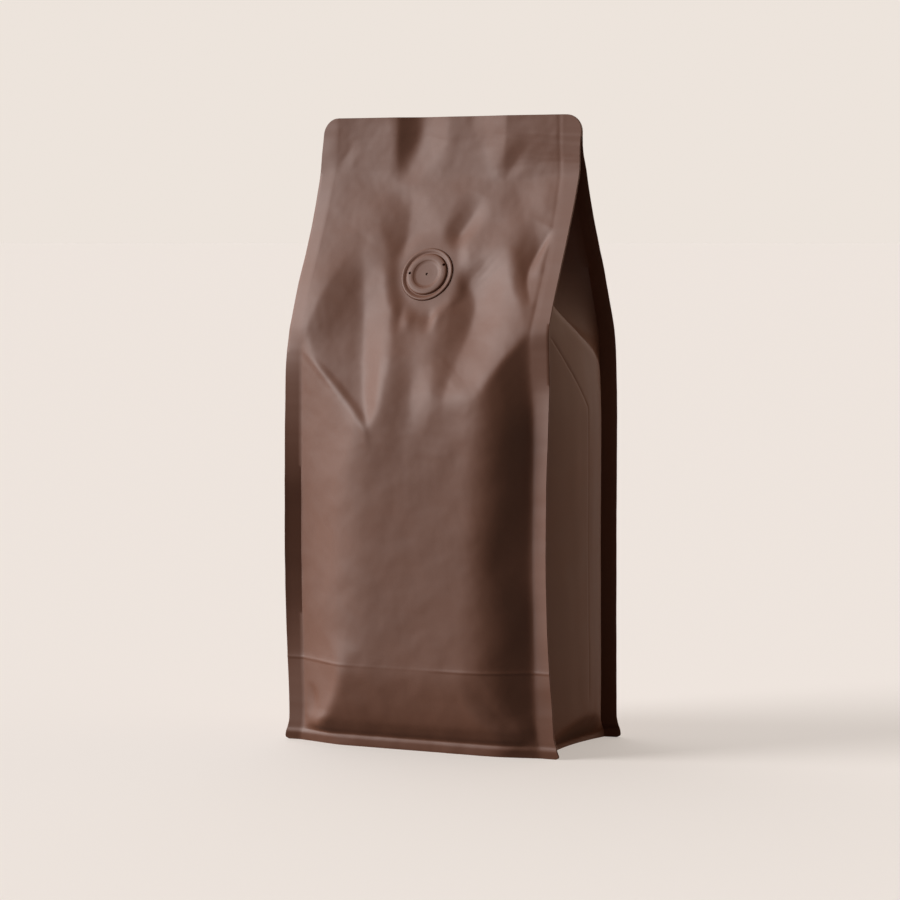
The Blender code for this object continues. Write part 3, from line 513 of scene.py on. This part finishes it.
def lofted(rings):
    """Bmesh of a closed section extruded from ring to ring, with both ends filled."""
    bm = bmesh.new()
    place = bm.verts.layers.int.new("place")
    verts = [bm.verts.new(point) for point in rings[0]]
    for i, vert in enumerate(verts):
        vert[place] = i
    edges = [bm.edges.new(pair) for pair in zip(verts, verts[1:] + verts[:1])]
    first = list(edges)
    for ring in rings[1:]:
        grown = bmesh.ops.extrude_edge_only(bm, edges=edges)["geom"]
        verts = [thing for thing in grown if isinstance(thing, bmesh.types.BMVert)]
        edges = [thing for thing in grown if isinstance(thing, bmesh.types.BMEdge)]
        for vert in verts:
            vert.co = ring[vert[place]]
    bmesh.ops.edgeloop_fill(bm, edges=first)
    back_from = len(verts) - (len(verts) - FRONT_STEPS - BACK_STEPS - 2) // 2 - BACK_STEPS - 1
    panels = (range(FRONT_STEPS + 1), range(back_from, back_from + BACK_STEPS + 1))
    rims = [edge for edge in edges if any(all(vert[place] in panel for vert in edge.verts) for panel in panels)]
    bmesh.ops.bridge_loops(bm, edges=rims)
    bmesh.ops.holes_fill(bm, edges=bm.edges, sides=0)
    bmesh.ops.recalc_face_normals(bm, faces=bm.faces)
    return bm


def waved(bm):
    """Push the film out and in along the creases of the top seal."""
    places = np.array([vert.co for vert in bm.verts])
    for vert, out in zip(bm.verts, creased(places[:, 0] - MIDDLE_X, places[:, 2], TOP_CREASES)):
        vert.co.y -= out
    return bm


def valve_frame():
    """Matrix of the valve's seat: its Z points out of the front panel."""
    normal = Vector((0.0, -math.cos(VALVE_TILT), math.sin(VALVE_TILT)))
    up = Vector((0.0, math.sin(VALVE_TILT), math.cos(VALVE_TILT)))
    centre = Vector((MIDDLE_X + VALVE_X, SEAL_Y - VALVE_SEAT, VALVE_Z))
    return Matrix.Translation(centre) @ Matrix((up.cross(normal), up, normal)).transposed().to_4x4()


def cut_round(piece, radius, low, high, places, sides):
    """Cut round holes of one radius in a piece, each from low to high along its place's Z."""
    bm = bmesh.new()
    for place in places:
        drill = bmesh.ops.create_cone(bm, cap_ends=True, segments=sides, radius1=radius,
                                      radius2=radius, depth=high - low)["verts"]
        bmesh.ops.translate(bm, vec=(0.0, 0.0, 0.5 * (low + high)), verts=drill)
        bmesh.ops.transform(bm, matrix=place, verts=drill)
    drills = finished_piece("drills", bm, [])
    cut = piece.modifiers.new("cut", 'BOOLEAN')
    cut.operation = 'DIFFERENCE'
    cut.solver = 'EXACT'
    cut.object = drills
    bpy.context.view_layer.update()
    cut_mesh = bpy.data.meshes.new_from_object(piece.evaluated_get(bpy.context.evaluated_depsgraph_get()))
    piece.modifiers.clear()
    piece.data = cut_mesh
    cut_mesh.name = piece.name
    bpy.data.objects.remove(drills)


def make_pouch(film):
    pouch = finished_piece("bag_film", waved(lofted(sections(loft_levels()))), [film])
    cut_round(pouch, VALVE_RADIUS + RECESS_GAP, -RECESS_DEPTH, 4 * MM, [valve_frame()], 128)
    pouch.data.shade_smooth()
    pouch.data.set_sharp_from_angle(angle=math.radians(40))
    return pouch


# Valve's turned outline, as (share of its radius, height in millimetres)
VALVE_OUTLINE = (
    (0.0, 0.42), (0.26, 0.42), (0.44, 0.50), (0.50, 0.68), (0.54, 0.90), (0.60, 1.00), (0.68, 0.98),
    (0.745, 0.86), (0.77, 0.66), (0.785, 0.20), (0.80, 0.10), (0.83, 0.14), (0.89, 0.46),
    (0.94, 0.60), (0.975, 0.52), (0.993, 0.34), (1.0, 0.10),
)
VALVE_TURNS = 144


def make_valve(film):
    bm = bmesh.new()
    outline = [bm.verts.new((VALVE_RADIUS * reach, 0.0, height * MM)) for reach, height in VALVE_OUTLINE]
    outline.append(bm.verts.new((VALVE_RADIUS, 0.0, 0.1 * MM - RECESS_DEPTH)))
    outline.append(bm.verts.new((0.0, 0.0, 0.1 * MM - RECESS_DEPTH)))
    profile = [bm.edges.new(pair) for pair in zip(outline, outline[1:])]
    bmesh.ops.subdivide_edges(bm, edges=profile, cuts=3)
    bmesh.ops.spin(bm, geom=bm.verts[:] + bm.edges[:], axis=(0, 0, 1), cent=(0, 0, 0), angle=2 * math.pi,
                   steps=VALVE_TURNS, use_merge=True)
    bmesh.ops.remove_doubles(bm, verts=bm.verts, dist=0.01 * MM)
    bmesh.ops.transform(bm, matrix=valve_frame(), verts=bm.verts)
    bmesh.ops.recalc_face_normals(bm, faces=bm.faces)
    valve = finished_piece("valve_cap", bm, [film])
    holes = [valve_frame() @ Matrix.Translation((across, up, 0.0)) for across, up in PINHOLES]
    cut_round(valve, PINHOLE_RADIUS, 0.0, 3 * MM, holes, 24)
    valve.data.shade_smooth()
    valve.data.set_sharp_from_angle(angle=math.radians(50))
    return valve


# ---------------------------------------------------------------- finishes

def film_grain_group():
    """Soft-touch film: fine tooth, faint cockle of the laminate and cloudy tone."""
    group = bpy.data.node_groups.new("film_grain", 'ShaderNodeTree')
    face = group.interface
    for name, value in (("Tooth", 1400.0), ("Cockle", 90.0), ("Cloud", 22.0)):
        face.new_socket(name, in_out='INPUT', socket_type='NodeSocketFloat').default_value = value
    for name in ("Height", "Tone", "Gloss"):
        face.new_socket(name, in_out='OUTPUT', socket_type='NodeSocketFloat')
    nodes, links = group.nodes, group.links
    given = nodes.new('NodeGroupInput')
    put_out = nodes.new('NodeGroupOutput')
    where = nodes.new('ShaderNodeTexCoord')

    def field(scale, detail, roughness=0.5):
        made = nodes.new('ShaderNodeTexNoise')
        made.inputs["Detail"].default_value = detail
        made.inputs["Roughness"].default_value = roughness
        links.new(where.outputs["Object"], made.inputs["Vector"])
        links.new(given.outputs[scale], made.inputs["Scale"])
        return made.outputs["Fac"]

    def mixed(a, b, share):
        made = nodes.new('ShaderNodeMix')
        made.data_type = 'FLOAT'
        made.inputs[0].default_value = share
        links.new(a, made.inputs[2])
        links.new(b, made.inputs[3])
        return made.outputs[0]

    tooth, cockle, cloud = field("Tooth", 2.0), field("Cockle", 3.0), field("Cloud", 4.0, 0.6)
    links.new(mixed(cockle, tooth, 0.12), put_out.inputs["Height"])
    links.new(mixed(cloud, tooth, 0.25), put_out.inputs["Tone"])
    links.new(mixed(cloud, cockle, 0.5), put_out.inputs["Gloss"])
    return group


def stretched(nodes, links, value, low, high, bottom, top):
    made = nodes.new('ShaderNodeMapRange')
    for name, number in (("From Min", low), ("From Max", high), ("To Min", bottom), ("To Max", top)):
        made.inputs[name].default_value = number
    links.new(value, made.inputs["Value"])
    return made.outputs["Result"]


def bag_film(name, grain, tooth, cockle, bump):
    made = bpy.data.materials.new(name)
    made.use_nodes = True
    nodes, links = made.node_tree.nodes, made.node_tree.links
    shader = nodes["Principled BSDF"]
    surface = nodes.new('ShaderNodeGroup')
    surface.node_tree = grain
    surface.inputs["Tooth"].default_value = tooth
    surface.inputs["Cockle"].default_value = cockle
    tone = nodes.new('ShaderNodeMix')
    tone.data_type = 'RGBA'
    links.new(stretched(nodes, links, surface.outputs["Tone"], 0.3, 0.7, 0.0, 1.0), tone.inputs[0])
    tone.inputs[6].default_value = (*(0.93 * part for part in BAG_BROWN), 1.0)
    tone.inputs[7].default_value = (*(1.07 * part for part in BAG_BROWN), 1.0)
    links.new(tone.outputs[2], shader.inputs["Base Color"])
    links.new(stretched(nodes, links, surface.outputs["Gloss"], 0.3, 0.7, 0.57, 0.63), shader.inputs["Roughness"])
    shader.inputs["Specular IOR Level"].default_value = FILM_SPECULAR
    relief = nodes.new('ShaderNodeBump')
    relief.inputs["Strength"].default_value = bump
    relief.inputs["Distance"].default_value = 0.05 * MM
    links.new(surface.outputs["Height"], relief.inputs["Height"])
    links.new(relief.outputs["Normal"], shader.inputs["Normal"])
    return made


# ---------------------------------------------------------------- studio

FLOOR_SEEN = (0.478, 0.447, 0.429)       # the floor's own colour
FLOOR_GLOW = 0.50                       # soft fill that evens out its shadow
FLOOR_BOUNCE = 0.12                     # what it throws back at the bag
KEY_FROM = (216.0, 22.5)                # azimuth and elevation of the direction to the key light
KEY_SPREAD = 34.0                       # its size as seen from the bag, in degrees
KEY_STRENGTH = 3.1
# Soft walls that light the bag, as (direction, light)
ROOM_WALLS = (((-0.7, 0.7, 0.2), (3.0, 3.0, 3.0)), ((-1.0, -0.05, 0.1), (1.0, 1.0, 1.0)),
              ((0.65, 0.75, 0.1), (1.15, 0.91, 0.71)), ((1.0, 0.1, 0.15), (0.40, 0.33, 0.26)))
WALL_GATHER = 4.0                       # how tightly each is gathered
ROOM_DARK = (0.012, 0.012, 0.012)


def make_floor():
    bm = bmesh.new()
    bmesh.ops.create_circle(bm, cap_ends=True, segments=96, radius=60.0)
    made = bpy.data.materials.new("pale_floor")
    made.use_nodes = True
    nodes, links = made.node_tree.nodes, made.node_tree.links
    out = nodes["Material Output"]
    nodes.remove(nodes["Principled BSDF"])
    bounce = nodes.new('ShaderNodeBsdfDiffuse')
    bounce.inputs["Color"].default_value = (FLOOR_BOUNCE, FLOOR_BOUNCE, FLOOR_BOUNCE, 1.0)
    paint = nodes.new('ShaderNodeBsdfDiffuse')
    paint.inputs["Color"].default_value = (*FLOOR_SEEN, 1.0)
    glow = nodes.new('ShaderNodeEmission')
    glow.inputs["Color"].default_value = (*BACKDROP, 1.0)
    glow.inputs["Strength"].default_value = FLOOR_GLOW
    lit = nodes.new('ShaderNodeAddShader')
    links.new(paint.outputs[0], lit.inputs[0])
    links.new(glow.outputs[0], lit.inputs[1])
    seen = nodes.new('ShaderNodeLightPath')
    either = nodes.new('ShaderNodeMixShader')
    links.new(seen.outputs["Is Camera Ray"], either.inputs[0])
    links.new(bounce.outputs[0], either.inputs[1])
    links.new(lit.outputs[0], either.inputs[2])
    links.new(either.outputs[0], out.inputs["Surface"])
    finished_piece("floor", bm, [made])


def make_key():
    light = bpy.data.lights.new("key", 'SUN')
    light.energy = KEY_STRENGTH
    light.angle = math.radians(KEY_SPREAD)
    lamp = bpy.data.objects.new("key", light)
    azimuth, height = (math.radians(angle) for angle in KEY_FROM)
    to_light = Vector((math.cos(azimuth) * math.cos(height), math.sin(azimuth) * math.cos(height),
                       math.sin(height)))
    lamp.rotation_euler = to_light.to_track_quat('Z', 'Y').to_euler()
    bpy.context.scene.collection.objects.link(lamp)


def make_room():
    """Plain backdrop colour for the camera, and soft walls that light the bag."""
    world = bpy.data.worlds.new("room")
    bpy.context.scene.world = world
    world.use_nodes = True
    nodes, links = world.node_tree.nodes, world.node_tree.links
    nodes.clear()
    out = nodes.new('ShaderNodeOutputWorld')
    where = nodes.new('ShaderNodeTexCoord')

    def worked_out(kind, operation, *given):
        made = nodes.new(kind)
        made.operation = operation
        for socket, value in zip((socket for socket in made.inputs if socket.enabled), given):
            if isinstance(value, bpy.types.NodeSocket):
                links.new(value, socket)
            else:
                socket.default_value = value
        return next(socket for socket in made.outputs if socket.enabled)

    light = ROOM_DARK
    for direction, glow in ROOM_WALLS:
        toward = worked_out('ShaderNodeVectorMath', 'DOT_PRODUCT', where.outputs["Generated"],
                            Vector(direction).normalized())
        facing = worked_out('ShaderNodeMath', 'POWER', worked_out('ShaderNodeMath', 'MAXIMUM', toward, 0.0), WALL_GATHER)
        light = worked_out('ShaderNodeVectorMath', 'ADD', worked_out('ShaderNodeVectorMath', 'SCALE', glow, facing), light)
    soft = nodes.new('ShaderNodeBackground')
    links.new(light, soft.inputs["Color"])
    backdrop = nodes.new('ShaderNodeBackground')
    backdrop.inputs["Color"].default_value = (*BACKDROP, 1.0)
    seen = nodes.new('ShaderNodeLightPath')
    either = nodes.new('ShaderNodeMixShader')
    links.new(seen.outputs["Is Camera Ray"], either.inputs[0])
    links.new(soft.outputs[0], either.inputs[1])
    links.new(backdrop.outputs[0], either.inputs[2])
    links.new(either.outputs[0], out.inputs["Surface"])


CAMERA_TURN = 27.0                      # degrees to the right of the front
CAMERA_LIFT = 3.77                      # degrees above the aim, looking down
CAMERA_DISTANCE = 1.36994
CAMERA_AIM = Vector((MIDDLE_X - 0.93 * MM, SEAL_Y + 1.5 * MM, 119.57 * MM))
CAMERA_LENS = 132.5


def make_camera():
    turn, lift = math.radians(CAMERA_TURN), math.radians(CAMERA_LIFT)
    back = Vector((math.sin(turn) * math.cos(lift), -math.cos(turn) * math.cos(lift), math.sin(lift)))
    data = bpy.data.cameras.new("camera")
    data.lens = CAMERA_LENS
    data.clip_end = 200.0
    camera = bpy.data.objects.new("camera", data)
    camera.location = CAMERA_AIM + CAMERA_DISTANCE * back
    camera.rotation_euler = back.to_track_quat('Z', 'Y').to_euler()
    bpy.context.scene.collection.objects.link(camera)
    bpy.context.scene.camera = camera


make_camera()
make_room()
make_key()
make_floor()
bpy.context.scene.view_settings.view_transform = 'Standard'

GRAIN = film_grain_group()
pouch = make_pouch(bag_film("brown_film", GRAIN, 1400.0, 90.0, 0.35))
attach(pouch, "root")
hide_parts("pouch")
valve = make_valve(bag_film("brown_valve", GRAIN, 1400.0, 140.0, 0.30))
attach(valve, "root")
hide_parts("degassing_valve")
